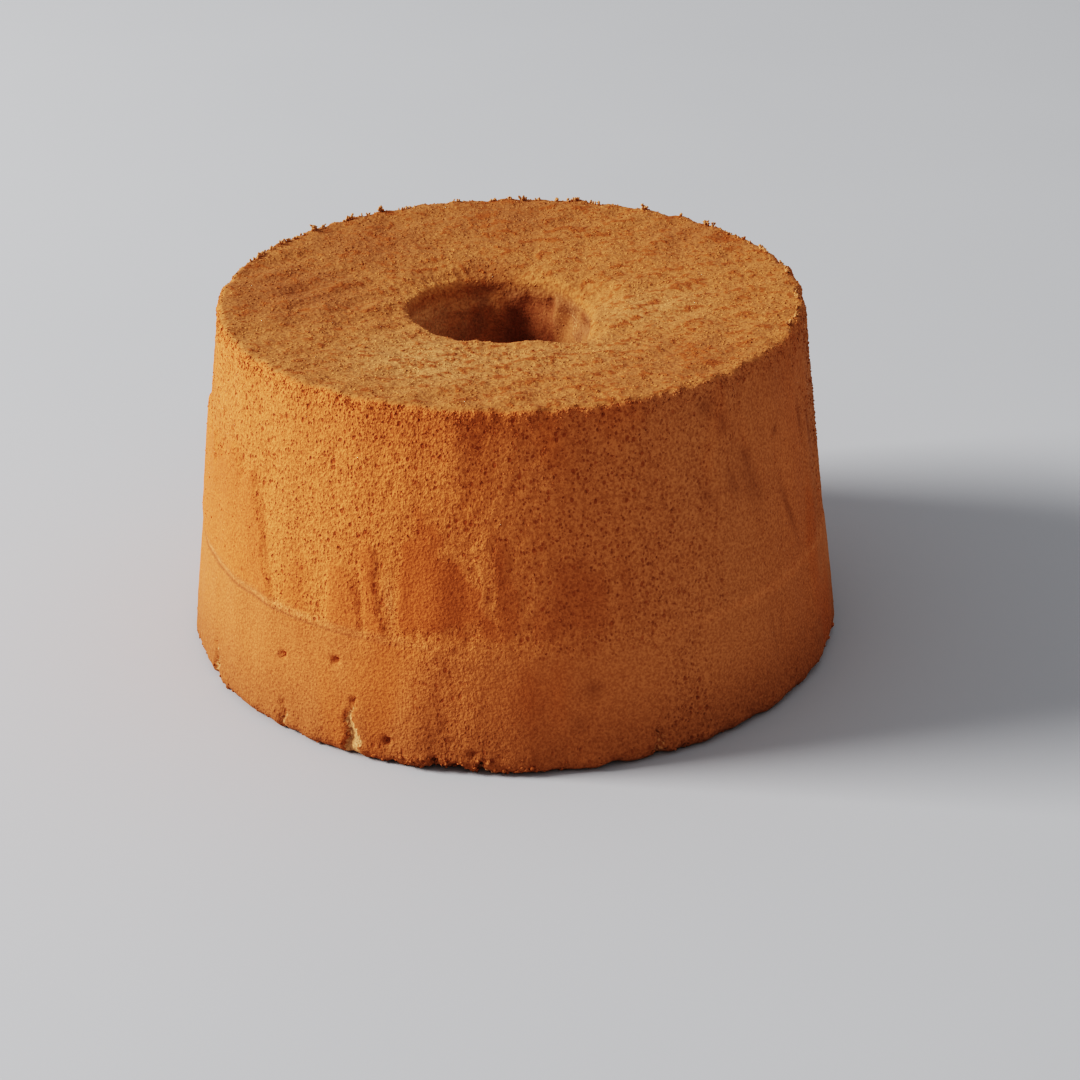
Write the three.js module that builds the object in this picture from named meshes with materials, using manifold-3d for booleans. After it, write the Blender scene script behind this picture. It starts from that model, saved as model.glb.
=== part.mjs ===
// Chiffon cake: one ring of sponge, turned out of a tall tube tin and standing on its wide end.
// Millimetres, +Z up, origin under the middle of the base. The cake's front faces -Y.
// Angles are in degrees round +Z from +X, so the front is at -90.
import * as THREE from "three";
import { mergeVertices } from "three/addons/utils/BufferGeometryUtils.js";
import Module from "manifold-3d";

const wasm = await Module();
wasm.setup();

// Driving dimensions of the outline
const HEIGHT = 111.3;
const RIM_RADIUS = 90.7; // the straight side carried up to the full height
const FOOT_RADIUS = 104.2; // the straight side carried down to the base
const RIM_ROUND = 2.2;
const FOOT_ROUND = 4;
const SEAM_HEIGHT = 38.6; // top of the smoother band round the foot
const SEAM_STEP = 0.5; // how far that band stands proud of the side above
const SEAM_BLEND = 2.4; // height over which it steps out
const DISH_DEPTH = 3.8; // how far the top sinks from the rim to the lip of the bore
const LIP_ROUND = 2.6;

// The bore left by the tin's tube, a little off the cake's axis
const BORE_TOP_RADIUS = 28;
const BORE_FOOT_RADIUS = 23;
const BORE_CENTRE = new THREE.Vector2(-2.9, -0.9);
const BORE_TEARS = [
  { at: -50, spread: 12, depth: 5.5, reach: 14 }, // torn corner at the front right
  { at: 100, spread: 34, depth: 2.6, reach: 5 }, // lip worn back behind the bore
  { at: 178, spread: 14, depth: 1.8, reach: 10 }, // pointed left end
];

// How far the crumb rises and sinks, each side of the smooth outline
const SIDE_RELIEF = 0.5;
const TOP_RELIEF = 0.8;
const RIM_CRAG = 1.1;
const RIM_CRAG_REACH = 6;
const FOOT_CRAG = 1.2;
const FOOT_CRAG_REACH = 7;
const BORE_RELIEF = 0.6;

// Patches where the baked skin still covers the crumb, in fingers above the seam
const SKIN_PROUD = 0.7;
const SKIN_EDGE_DEGREES = 1.6;
const SKIN_EDGE_HEIGHT = 8;
const SKIN_FINGERS = [
  { from: -176, to: -139, low: 34, high: 84 },
  { from: -121, to: -113, low: 34, high: 66 },
  { from: -110, to: -96, low: 34, high: 78 },
  { from: -94, to: -90, low: 34, high: 70 },
  { from: -55, to: -18, low: 34, high: 92 },
  { from: 8, to: 24, low: 34, high: 72 },
  { from: 41, to: 72, low: 34, high: 86 },
  { from: 96, to: 107, low: 34, high: 64 },
  { from: 127, to: 158, low: 34, high: 80 },
];

// Cracks and chips that run up from the foot, where the crumb has torn
const CRACKS = [
  { at: -155, width: 4, height: 14, depth: 3.5 },
  { at: -133, width: 5, height: 15, depth: 4 },
  { at: -118.3, width: 6, height: 23, depth: 5.5 },
  { at: -103.5, width: 8, height: 5, depth: 4 },
  { at: -95.7, width: 5, height: 6, depth: 3.5 },
  { at: -66, width: 5.5, height: 15, depth: 5 },
];
const HIDDEN_CRACKS = { from: -25, to: 190, count: 9, width: [4, 8], height: [5, 20], depth: [3, 5] };
const CRACK_SIDES = 6;
const CRACK_BELOW = 1; // how far a crack's wedge starts under the base

// The unevenness itself: waves of so many turns round the cake, or of so many millimetres across the top
const SIDE_WAVES = { seed: 11, count: 16, fewest: 6, most: 44, perHeight: 0.14 };
const RIM_WAVES = { seed: 23, count: 14, fewest: 14, most: 64, perHeight: 0 };
const RIM_LIFT = { seed: 37, count: 14, fewest: 14, most: 64, perHeight: 0 };
const FOOT_WAVES = { seed: 41, count: 14, fewest: 12, most: 60, perHeight: 0 };
const BORE_WAVES = { seed: 53, count: 10, fewest: 3, most: 14, perHeight: 0.12 };
const TOP_WAVES = { seed: 67, count: 18, shortest: 9, longest: 26 };
const HIDDEN_CRACK_SEED = 79;

// Facets round the cake and along the outline
const SEGMENTS = 142;
const STEPS = { base: 3, foot: 3, band: 5, wall: 10, rim: 3, top: 8, lip: 3, bore: 4 };
const MERGE_DISTANCE = 1e-3;

const TAPER = (FOOT_RADIUS - RIM_RADIUS) / HEIGHT;
const LIP_HEIGHT = HEIGHT - DISH_DEPTH;
const { degToRad, radToDeg, euclideanModulo, lerp, smoothstep } = THREE.MathUtils;

// A repeatable stream of numbers from 0 to 1
function seeded(seed) {
  let state = seed;
  return () => {
    state = (state + 0x6d2b79f5) >>> 0;
    let mixed = Math.imul(state ^ (state >>> 15), state | 1);
    mixed ^= mixed + Math.imul(mixed ^ (mixed >>> 7), mixed | 61);
    return ((mixed ^ (mixed >>> 14)) >>> 0) / 2 ** 32;
  };
}

// Uneven relief round the cake, about -1 to 1: waves of whole turns that also change with height
function turnWaves({ seed, count, fewest, most, perHeight }) {
  const draw = seeded(seed);
  const waves = Array.from({ length: count }, () => ({
    turns: Math.round(lerp(fewest, most, draw())),
    rise: lerp(-perHeight, perHeight, draw()),
    phase: draw() * 2 * Math.PI,
  }));
  const height = (w, angle, z) => Math.sin(w.turns * angle + w.rise * z + w.phase);
  return (angle, z) => waves.reduce((sum, w) => sum + height(w, angle, z), 0) / Math.sqrt(2 * count);
}

// Uneven relief across the top, about -1 to 1: plane waves in all directions
function planeWaves({ seed, count, shortest, longest }) {
  const draw = seeded(seed);
  const waves = Array.from({ length: count }, () => {
    const heading = draw() * 2 * Math.PI;
    const rate = (2 * Math.PI) / lerp(shortest, longest, draw());
    return { x: rate * Math.cos(heading), y: rate * Math.sin(heading), phase: draw() * 2 * Math.PI };
  });
  const height = (w, x, y) => Math.sin(w.x * x + w.y * y + w.phase);
  return (x, y) => waves.reduce((sum, w) => sum + height(w, x, y), 0) / Math.sqrt(2 * count);
}

const sideWaves = turnWaves(SIDE_WAVES);
const rimWaves = turnWaves(RIM_WAVES);
const rimLift = turnWaves(RIM_LIFT);
const footWaves = turnWaves(FOOT_WAVES);
const boreWaves = turnWaves(BORE_WAVES);
const topWaves = planeWaves(TOP_WAVES);

// 1 at zero distance, 0 at the reach and beyond
const fade = (distance, reach) => 1 - smoothstep(Math.abs(distance), 0, reach);

// The turn from one angle to another, in degrees from -180 to 180
const turnBetween = (from, to) => euclideanModulo(to - from + 180, 360) - 180;

// Radius of the smooth side at a height, with the foot band standing proud
function sideRadius(z) {
  const band = 1 - smoothstep(z, SEAM_HEIGHT - SEAM_BLEND / 2, SEAM_HEIGHT + SEAM_BLEND / 2);
  return FOOT_RADIUS - TAPER * z + SEAM_STEP * band;
}

// 1 where skin covers the side, 0 on open crumb
function skinAt(degrees, z) {
  return SKIN_FINGERS.reduce((most, f) => {
    const middle = (f.from + f.to) / 2;
    const half = (f.to - f.from) / 2;
    const away = Math.abs(turnBetween(middle, degrees)) - half;
    const across = 1 - smoothstep(away, -SKIN_EDGE_DEGREES, SKIN_EDGE_DEGREES);
    const up = 1 - smoothstep(z, f.high - SKIN_EDGE_HEIGHT, f.high + SKIN_EDGE_HEIGHT);
    const down = smoothstep(z, f.low - SEAM_BLEND, f.low + SEAM_BLEND);
    return Math.max(most, across * up * down);
  }, 0);
}

// How much further than round the bore reaches at an angle, this far below its lip
function boreTear(degrees, below) {
  return BORE_TEARS.reduce((sum, t) => {
    const across = Math.exp(-((turnBetween(t.at, degrees) / t.spread) ** 2));
    return sum + t.depth * across * fade(below, t.reach);
  }, 0);
}

// The closed outline that is turned about the axis, anticlockwise from the bore's lower edge
function outline() {
  const points = [];
  const add = (zone, count, place) => {
    for (let i = 0; i < count; i++) points.push({ zone, ...place(i / count) });
  };
  const footFlat = FOOT_RADIUS + SEAM_STEP - FOOT_ROUND;
  const rimSide = sideRadius(HEIGHT - RIM_ROUND);
  const topEdge = rimSide - RIM_ROUND;
  const lipEdge = BORE_TOP_RADIUS + LIP_ROUND;
  const boreTop = LIP_HEIGHT - LIP_ROUND;
  const quarter = Math.PI / 2;
  const side = (z) => ({ r: sideRadius(z), z });
  add("base", STEPS.base, (t) => ({ r: lerp(BORE_FOOT_RADIUS, footFlat, t), z: 0 }));
  add("foot", STEPS.foot, (t) => ({
    r: footFlat + (sideRadius(FOOT_ROUND) - footFlat) * Math.sin(t * quarter),
    z: FOOT_ROUND * (1 - Math.cos(t * quarter)),
  }));
  add("side", STEPS.band, (t) => side(lerp(FOOT_ROUND, SEAM_HEIGHT - SEAM_BLEND / 2, t)));
  add("side", STEPS.wall, (t) => side(lerp(SEAM_HEIGHT - SEAM_BLEND / 2, HEIGHT - RIM_ROUND, t)));
  add("rim", STEPS.rim, (t) => ({
    r: topEdge + RIM_ROUND * Math.cos(t * quarter),
    z: HEIGHT - RIM_ROUND + RIM_ROUND * Math.sin(t * quarter),
  }));
  add("top", STEPS.top, (t) => ({
    r: lerp(topEdge, lipEdge, t),
    z: HEIGHT - DISH_DEPTH * t,
  }));
  add("lip", STEPS.lip, (t) => ({
    r: lipEdge - LIP_ROUND * Math.sin(t * quarter),
    z: LIP_HEIGHT - LIP_ROUND * (1 - Math.cos(t * quarter)),
  }));
  add("bore", STEPS.bore, (t) => ({
    r: lerp(BORE_TOP_RADIUS, BORE_FOOT_RADIUS, t),
    z: lerp(boreTop, 0, t),
  }));
  points.push({ ...points[0] });
  return points;
}

// One point of the cake: the smooth outline at an angle, moved by the relief of its zone
function placed({ zone, r, z }, angle) {
  const degrees = radToDeg(angle);
  let radius = r;
  let height = z;
  if (zone === "side" || zone === "foot" || zone === "rim") {
    radius += SIDE_RELIEF * sideWaves(angle, z) * smoothstep(z, 0, FOOT_ROUND);
    radius += SKIN_PROUD * skinAt(degrees, z);
    radius += FOOT_CRAG * footWaves(angle, z) * fade(z, FOOT_CRAG_REACH);
  }
  const fromRim = Math.hypot(r - RIM_RADIUS, z - HEIGHT);
  radius += RIM_CRAG * rimWaves(angle, z) * fade(fromRim, RIM_CRAG_REACH);
  height += RIM_CRAG * rimLift(angle, z) * fade(fromRim, RIM_CRAG_REACH);
  // 1 round the bore, fading to 0 towards the outside, so that the outside stays round the axis
  const inward = 1 - smoothstep(r, BORE_TOP_RADIUS + LIP_ROUND, RIM_RADIUS - RIM_CRAG_REACH);
  if (zone === "top" || zone === "lip") {
    const crumb = topWaves(r * Math.cos(angle), r * Math.sin(angle));
    height += TOP_RELIEF * crumb * smoothstep(fromRim, 0, RIM_CRAG_REACH);
    radius += boreTear(degrees, 0) * inward;
  }
  if (zone === "bore") {
    radius += boreTear(degrees, LIP_HEIGHT - LIP_ROUND - z);
    radius += BORE_RELIEF * boreWaves(angle, z) * smoothstep(z, 0, FOOT_ROUND);
  }
  return new THREE.Vector3(
    radius * Math.cos(angle) + BORE_CENTRE.x * inward,
    radius * Math.sin(angle) + BORE_CENTRE.y * inward,
    height,
  );
}

// The turned outline with every point moved to its place
function ringGeometry() {
  const points = outline();
  const turned = new THREE.LatheGeometry(
    points.map(({ r, z }) => new THREE.Vector2(r, z)),
    SEGMENTS,
  );
  turned.rotateX(Math.PI / 2);
  turned.deleteAttribute("normal");
  turned.deleteAttribute("uv");
  const position = turned.getAttribute("position");
  for (let i = 0; i < position.count; i++) {
    const angle = Math.atan2(position.getY(i), position.getX(i));
    const at = placed(points[i % points.length], angle);
    position.setXYZ(i, at.x, at.y, at.z);
  }
  return mergeVertices(turned, MERGE_DISTANCE);
}

// A wedge that opens downwards, standing on the side at its angle and leaning with the taper
function crackGeometry({ at, width, height, depth }) {
  const wedge = new THREE.ConeGeometry(1, height + CRACK_BELOW, CRACK_SIDES, 1);
  wedge.rotateX(Math.PI / 2);
  wedge.scale(depth, width / 2, 1);
  wedge.translate(0, 0, (height - CRACK_BELOW) / 2);
  wedge.rotateY(-Math.atan(TAPER));
  wedge.translate(FOOT_RADIUS, 0, 0);
  wedge.rotateZ(degToRad(at));
  wedge.deleteAttribute("normal");
  wedge.deleteAttribute("uv");
  return mergeVertices(wedge, MERGE_DISTANCE);
}

// The cracks that show at the front, and others like them round the back
function allCracks() {
  const { from, to, count, width, height, depth } = HIDDEN_CRACKS;
  const draw = seeded(HIDDEN_CRACK_SEED);
  const hidden = Array.from({ length: count }, (_, i) => ({
    at: lerp(from, to, (i + draw()) / count),
    width: lerp(...width, draw()),
    height: lerp(...height, draw()),
    depth: lerp(...depth, draw()),
  }));
  return [...CRACKS, ...hidden];
}

function solidFrom(geometry) {
  const vertProperties = new Float32Array(geometry.getAttribute("position").array);
  const triVerts = new Uint32Array(geometry.index.array);
  return new wasm.Manifold(new wasm.Mesh({ numProp: 3, vertProperties, triVerts }));
}

function geometryFrom(solid) {
  const { vertProperties, triVerts } = solid.getMesh();
  const geometry = new THREE.BufferGeometry();
  geometry.setAttribute("position", new THREE.BufferAttribute(vertProperties, 3));
  geometry.setIndex(new THREE.BufferAttribute(triVerts, 1));
  return geometry;
}

// The whole cake, set with the middle of its box over the origin
function cakeGeometry() {
  const torn = allCracks().reduce(
    (solid, crack) => solid.subtract(solidFrom(crackGeometry(crack))),
    solidFrom(ringGeometry()),
  );
  const geometry = geometryFrom(torn);
  geometry.computeBoundingBox();
  const middle = geometry.boundingBox.getCenter(new THREE.Vector3());
  geometry.translate(-middle.x, -middle.y, -geometry.boundingBox.min.z);
  geometry.computeVertexNormals();
  return geometry;
}

const bakedCrumb = new THREE.MeshStandardMaterial({ color: 0xb98048, roughness: 0.95, metalness: 0 });
const cake = new THREE.Mesh(cakeGeometry(), bakedCrumb);
cake.name = "cake";

const chiffonCake = new THREE.Group();
chiffonCake.add(cake);

export default chiffonCake;
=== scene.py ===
"""Chiffon cake: a tall ring of sponge standing on its wide end, with porous sides, patches of baked skin,
a crumbly dished top, a ragged rim and foot, and an off-centre tube hole.
The frame is in metres, +Z up, origin under the middle of the base. The cake's front faces -Y.
Shapes are worked out in millimetres, and angles in degrees round +Z from +X, so the front is at -90."""
import itertools
import math
from types import SimpleNamespace as Values

import bpy
import numpy as np
from mathutils import Matrix, Vector


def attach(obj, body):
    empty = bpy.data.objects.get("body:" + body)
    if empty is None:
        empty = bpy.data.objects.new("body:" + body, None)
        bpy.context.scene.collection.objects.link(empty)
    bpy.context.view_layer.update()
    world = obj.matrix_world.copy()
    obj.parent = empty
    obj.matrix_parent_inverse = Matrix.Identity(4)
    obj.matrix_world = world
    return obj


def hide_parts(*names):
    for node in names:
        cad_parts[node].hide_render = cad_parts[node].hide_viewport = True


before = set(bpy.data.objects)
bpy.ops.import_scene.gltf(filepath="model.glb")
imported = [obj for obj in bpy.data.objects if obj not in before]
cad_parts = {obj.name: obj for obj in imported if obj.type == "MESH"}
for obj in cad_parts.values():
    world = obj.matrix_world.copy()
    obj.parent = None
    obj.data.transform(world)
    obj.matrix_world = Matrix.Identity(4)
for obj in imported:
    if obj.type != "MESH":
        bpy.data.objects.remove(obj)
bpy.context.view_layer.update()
BODY = "root"
NODE = "cake"
MM = 0.001


def grain(size, seed, amount=1):
    """Lumps of the crumb: their size, seed and amount."""
    return Values(size=size, seed=seed, amount=amount)


# Driving dimensions of the outline, as in the solid
HEIGHT = 111.3
RIM_RADIUS = 90.7
FOOT_RADIUS = 104.2
RIM_ROUND = 2.2
FOOT_ROUND = 4
DISH_DEPTH = 3.8
LIP_ROUND = 2.8
TAPER = (FOOT_RADIUS - RIM_RADIUS) / HEIGHT
LIP_HEIGHT = HEIGHT - DISH_DEPTH

# The seam: the band below stands proud by a step, with a groove at it and a strip of painted highlight
# above
SEAM_HEIGHT = 38.6
SEAM_STEP = 0.4
SEAM_BLEND = 1.8
SOFT_BLEND = 14
GROOVE_DEPTH = 0.15
GROOVE_WIDTH = 0.45
HIGHLIGHT_STRIP_RISE = 1.6
HIGHLIGHT_STRIP_WIDTH = 1.3

# The bore; each tear is its angle, width, depth and how far down it goes
BORE_RADIUS = 28
BORE_FOOT_RADIUS = 23
BORE_CENTRE = (-2.9, -0.9)
BORE_TEARS = ((-46, 19, 6.4, 14), (100, 34, 2.0, 7), (178, 14, 0.4, 10))

# Where the top slopes into the bore: angle, half width, depth and reach from the lip
FUNNELS = ((18, 44, 3.2, 13), (105, 65, 2.6, 8), (-44, 24, 1.6, 9))
FUNNEL_END = 12

# Hollows, torn crumb and crust in the bore's wall: angle, depth below the lip and reach; the hollows are
# darkened with painted shade
BORE_HOLLOWS = ((55, 5.5, 3.4), (72, 5, 3.6))
BORE_TORN = ((38, 9, 10),)
BORE_CRUST = ((22, 3, 5), (8, 4, 6))
HOLLOW_DEPTH = 1.2
TORN_SHARE = 0.48
TORN_GRAIN = grain(6, 142)
TORN_CUT = (-0.9, 0.1)

# Dark stretches of the bore's wall: middle, reach, strength and depths where they set in
SCORCHED_WALL = (68, 31, 1.0, (0, 6))
CRUST_WALL = (22, 48, 0.5, (-0.5, 2.5))
WALL_BREADTH = 1.8

# Where the top's crumb reaches into the bore: middle, reach and strength, then how deep
SOFT_LIP = ((125, 95, 1.0), (60, 60, 0.6))
LIP_DEPTHS = (2, 8)
TONE_START = -1
TONE_DEPTHS = (1, 7)

# Painted light at the lip and on the bore's shaded wall at the back left: middle and reach
PAINTED_LIGHT_LIP = ((140, 55),)
PAINTED_LIGHT_DEPTH = 11
PAINTED_LIGHT_WALL = ((170, 75),)
PAINTED_LIGHT_SHARE = 0.85

# How far the crumb rises and sinks from the smooth outline
SIDE_RELIEF = 0.4
TOP_RELIEF = 0.45
RIM_CRAG = 0.45
CRAG_REACH = 6
FOOT_CRAG = 0.5
FOOT_REACH = 7
BORE_RELIEF = 0.6
RELIEF_DEPTHS = (-1, 7)


def finger(foot, head, heights, edge, proud=0.5, red=0.3, cover=1.0, tilt=0):
    """A finger of skin, with left and right angles at its foot and head; tilt sinks its right."""
    low, high = heights
    return Values(
        foot=foot, head=head, low=low, high=high, edge=edge, proud=proud, red=red, cover=cover, tilt=tilt
    )


# Fingers of baked skin that still cover the crumb above the seam
SKIN_FINGERS = (
    finger((-182, -136.8), (-182, -143.4), (34, 76), 0.45, proud=0.9, red=0, cover=0.9),
    finger((-133.6, -129.4), (-133, -130.5), (34, 58), 1.5, proud=0.2, red=0.1, cover=0.5),
    finger((-123.5, -117.2), (-124, -119.6), (34, 62), 1.0, proud=0.6, red=0.15, cover=0.85),
    finger((-115.4, -111.6), (-118, -116), (34, 69), 0.8, proud=0.7, red=0.25, cover=0.85),
    finger((-110.6, -92.2), (-110, -101.8), (44, 73), 0.9, proud=0.6, red=0.65, cover=0.9, tilt=1.1),
    finger((-92.4, -89.2), (-94, -92), (44, 72), 1.4, proud=0.1, red=0.6, cover=0.6),
    finger((-87, -73.5), (-84, -77), (43, 63), 3.0, proud=0, red=0.5, cover=0.6),
    finger((-72.4, -69.2), (-72.2, -70), (46, 63), 1.2, proud=0.1, red=0.4, cover=0.5),
    finger((-66, -40), (-64, -40), (34, 116), 7, proud=0, red=0, cover=0.5),
    finger((-56, -14), (-49, -14), (34, 108), 11, proud=0.2, red=0, cover=0.92),
    finger((8, 24), (10, 21), (34, 76), 2),
    finger((41, 72), (45, 64), (34, 88), 3, red=0.5, cover=0.9),
    finger((96, 107), (99, 104), (34, 68), 1.5, cover=0.8),
    finger((127, 158), (131, 150), (34, 82), 2, red=0.4, cover=0.9),
)
SKIN_END = 8
SKIN_START = 4
SKIN_EDGE_RED = 0.2

# Ragged edges of the fingers: streaks, flecks, and how far they wander round and up
SKIN_SQUEEZE = 0.22
SKIN_STREAKS = grain(5, 101)
SKIN_FLECKS = grain(2.5, 102, 0.5)
SKIN_TURN = grain(9, 103, 0.5)
SKIN_RISE = grain(7, 104, 6)
SKIN_RAGGED = 0.55
SKIN_RAGGED_ALL = 0.15
SKIN_CUT = (0.3, 0.7)

# Cracks that run up from the foot: angle, width, height and depth; more are drawn for the back
CRACKS = (
    (-155, 5, 16, 1.8),
    (-133, 4, 15, 1.5),
    (-118.3, 6.5, 24, 1.8),
    (-103.5, 8, 5, 3.5),
    (-95.7, 5, 6, 3),
    (-66, 5, 15, 1.8),
)
CRACK_PALENESS = (1.0, 0.45, 1.0, 0.3, 0.6, 0.45)
HIDDEN_PALENESS = 0.5
HIDDEN_CRACKS = Values(
    seed=79, start=-25, end=190, count=9, width=(4, 8), height=(5, 20), depth=(3, 5)
)

# A crack's edge, floor and slope in half widths, and how it narrows, pales and wanders
CRACK = Values(
    edge=1.1, floor=0.6, slope=1.7, wider=0.4, taper=1.2, least=0.05, tip=(0, 0.2), pale=(0.1, 0.55)
)
CRACK_WANDER = grain(5, 111, 1.1)
WANDER_PLACE = (3.7, 9.1, 0)
CRACK_WANDERS = (1, 1.3, 1.6)
CRACK_ROUGH = grain(2.2, 112, 0.35)

# Small holes in the band: angle, height, radius and depth; more are drawn for the back
DENTS = ((-133.7, 25, 1.4, 1.9), (-122, 29.5, 1.7, 1.6), (-112, 7.7, 1.6, 1.8), (-97.5, 7, 1.4, 1.3))
HIDDEN_DENTS = Values(
    seed=83, start=-40, end=200, count=12, height=(5, 34), radius=(1, 2), depth=(1, 2)
)
DENT_EDGE = (0.4, 1.1)
DENT_ROUGH = 0.7

# The unevenness that the solid has too: waves of so many turns, or of so many millimetres
SIDE_WAVES = Values(seed=11, count=16, fewest=6, most=44, per_height=0.14)
RIM_WAVES = Values(seed=23, count=14, fewest=14, most=64, per_height=0)
RIM_LIFT = Values(seed=37, count=14, fewest=14, most=64, per_height=0)
FOOT_WAVES = Values(seed=41, count=14, fewest=12, most=60, per_height=0)
BORE_WAVES = Values(seed=53, count=10, fewest=3, most=14, per_height=0.12)
TOP_WAVES = Values(seed=67, count=18, shortest=9, longest=26)

# Finer relief of the side, the rim and the bore
SKIN_GRAIN = grain(4.0, 121, 0.07)
SIDE_GRAIN = grain(2.6, 122, 0.2)
RIM_GRAIN = grain(2.4, 125, 0.4)
BORE_GRAIN = grain(5.0, 141, 1.0)
PITS = Values(spacing=6.0, radii=(0.5, 1.4), seed=123)
PIT_DEPTH = 0.6
SKIN_PIT_SHARE = 0.1

# Finer relief of the top: grains, and flecks in rows that run one way
TOP_GRAIN = grain(2.2, 133)
TOP_GRAIN_RISE = 0.17
TOP_FLECK_SIZE = 2.8
TOP_FLECKS = grain(TOP_FLECK_SIZE, 131)
TOP_ROWS = grain(1.6 * TOP_FLECK_SIZE, 132, 1.1)
TOP_ROWS_RISE = 0.19
ROW_HEADING = 22
ROW_STRETCH = 2.8
FLECK_STRETCH = 0.6

# Colour of the top's flecks, less near the lip and at the left
FLECK_GRAINS = 0.4
FLECK_CUT = (-0.1, 1.1)
FLECK_REACH = 8
FLECK_LEFT = 0.7
FLECK_SIDES = (-60, 20)

# The foot's crumb, coarser where it is ragged, and how far its edge is broken away
FOOT_GRAIN = grain(3.0, 124)
SPLINTERS = grain(1.5, 127)
SPLINTER_SHARE = 0.6
FOOT_RISE = 0.4
FOOT_RISE_REACH = 9
RAGGED_GAIN = 2
FOOT_BREAKS = grain(8, 126)
BREAK_CUT = (0.1, 0.8)
FOOT_LIFT = 2.6
LIFT_REACH = 6
LIFT_RADII = (92, 101)

# Stretches of the foot that are broken and ragged: middle and reach
RAGGED_FOOT = ((-101, 22), (36, 18), (95, 14), (165, 16))
SMOOTH_LIFT = 0.25

# Stretches where the seam shows, with its groove or without: middle and reach
CLEAR_SEAM = ((-155, 75), (58, 32), (118, 26))
FAINT_SEAM = ((-28, 56),)
BAND_BLENDS = (10, 2)
BAND_WANDER = grain(6, 105, 3)

# How closed the band is; porous streaks, by middle and reach, and the foot open it
BAND_CLOSED = 0.88
POROUS_STREAKS = ((-101, 11), (-60, 8), (10, 10), (60, 12), (120, 10), (175, 9))
STREAK_OPENING = 0.75
FOOT_OPENING = 0.4
OPENING_REACH = 24

# Pores of closed crumb and of the bore, and where open crumb has most
CLOSED_PORES = 0.3
BAND_PORE_LOSS = 0.17
BORE_PORES = 0.35
MOST_PORES = 1.2
PORE_HEIGHTS = (55, 80)

# Marks on the side: angle, height, half width, half height, lean and strength
RED_MARKS_AND_SHADOW_LINES = (
    # The first four are painted shadow lines along the right edges of skin ridges; the rest are redder
    # marks
    (-140.1, 59, 0.55, 18, 0.172, 0.95),
    (-143, 58, 3, 20, 0.172, 0.35),
    (-118.0, 51, 0.6, 9, 0.117, 0.6),
    (-114.0, 55, 0.6, 13, 0.189, 0.5),
    (-157.6, 76, 0.8, 4, 0.1, 0.5),
    (-149.4, 78, 0.9, 7, 0.07, 0.5),
    (-143.8, 77, 0.8, 4, 0.05, 0.6),
    (-131.4, 55, 1.4, 7, 0, 0.35),
    (-122.2, 68, 1.0, 4, 0, 0.4),
    (-117.6, 65, 1.2, 4, 0.3, 0.6),
    (-106.4, 76, 1.3, 4, 0, 1.0),
    (-92.8, 65, 0.9, 8, 0.12, 0.9),
    (-82.2, 62, 1.0, 4, 0.1, 0.6),
    (-78.2, 65, 1.0, 3, 0.1, 0.6),
    (-70.9, 60, 0.9, 6, 0.1, 0.6),
    (-88, 25, 4.5, 8, 0, 0.5),
    (-102, 105, 16, 8, 0, 0.55),
    (-157, 74, 9, 13, 0, 0.35),
)
# Dark marks: partly darker crust, partly painted shade in the grooves they cut
DARK_MARKS_AND_SHADE = (
    (-43.6, 84, 1.1, 4, 0.21, 0.7),
    (-42.9, 77, 2.6, 10, 0.21, 0.45),
    (-31, 103, 9, 7, 0, 0.2),
    (-31.4, 60, 0.8, 11, 0.22, 0.6),
    (-47.5, 78, 1.4, 5, 0.25, 0.5),
    (-53.8, 77.5, 1.3, 3.5, 0.2, 0.45),
    (-23, 84, 0.9, 6, 0.1, 0.6),
    (-18.5, 78, 0.9, 9, 0.1, 0.6),
    (-34.3, 87.2, 0.7, 1.5, 0, 0.7),
    (-53, 104, 2.2, 3, 0, 0.5),
    (-49.5, 98, 1.3, 3, 0.1, 0.45),
    (-39.6, 27, 0.4, 5, 0.1, 0.35),
    (-36.9, 27, 0.4, 5, -0.05, 0.35),
    (-77.2, 26, 1.8, 3, 0, 0.5),
    (-79.6, 15.4, 1.5, 3, 0, 0.35),
)
# Painted highlights on the lit edges of steps and grooves
PAINTED_HIGHLIGHT_MARKS = (
    (-112, 50, 0.9, 8, 0.05, 0.5),
    (-39.6, 78, 1.0, 8, 0.21, 0.45),
    (-29.4, 57, 0.6, 11, 0.22, 0.5),
    (-31.5, 72, 2.4, 11, 0.1, 0.45),
)
MARK_DEPTH = 0.35
# Painted shade in the seam's groove
GROOVE_PAINTED_SHADE = 0.85

# Paler and browner places on the top: x, y, reach and strength
PALE_PLACES = ((-23, -46, 38, 1.0), (46, -6, 27, 0.6), (4, -40, 34, 0.5), (24, -36, 26, 0.35))
BROWN_PLACES = (
    (-68, 10, 46, 1.0),
    (-45, 52, 42, 0.9),
    (0, 76, 46, 0.8),
    (62, 52, 34, 0.6),
    (-4, 31, 16, 0.9),
    (50, -52, 40, 0.5),
)
RIM_TOP_SLOPES = (0.5, 1)

# Duller stretches of the side, by middle and reach, mostly away from the key light and partly painted
# shade; redder patches; and the darker foot, partly painted shade
DULL_AND_SHADED_STRETCHES = ((-50, 66), (-8, 50), (75, 40), (150, 30))
PATCHES = grain(22, 151)
PATCH_SQUEEZE = 0.5
SMALL_PATCHES = grain(8, 152, 0.5)
SMALL_SQUEEZE = 0.3
# The darker foot: partly browner crumb, mostly painted shade near the floor
FOOT_SHADE_SHARE = 0.61
FOOT_SHADE_REACH = 30

# Columns round the cake, closer together at the front, and rows along the outline
COLUMNS = 520
FRONT = -90
FRONT_SHARE = 0.28
ROWS = Values(base=4, foot=5, band=30, seam=10, wall=62, rim=5, top=49, lip=5, bore=20)
SEAM_REACH = 2
BASE_CROWD = 0.5
BORE_CROWD = 2

# Cracks and small holes drawn for the back stay at least this far from the front
SHOWN_REACH = 85

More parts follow.
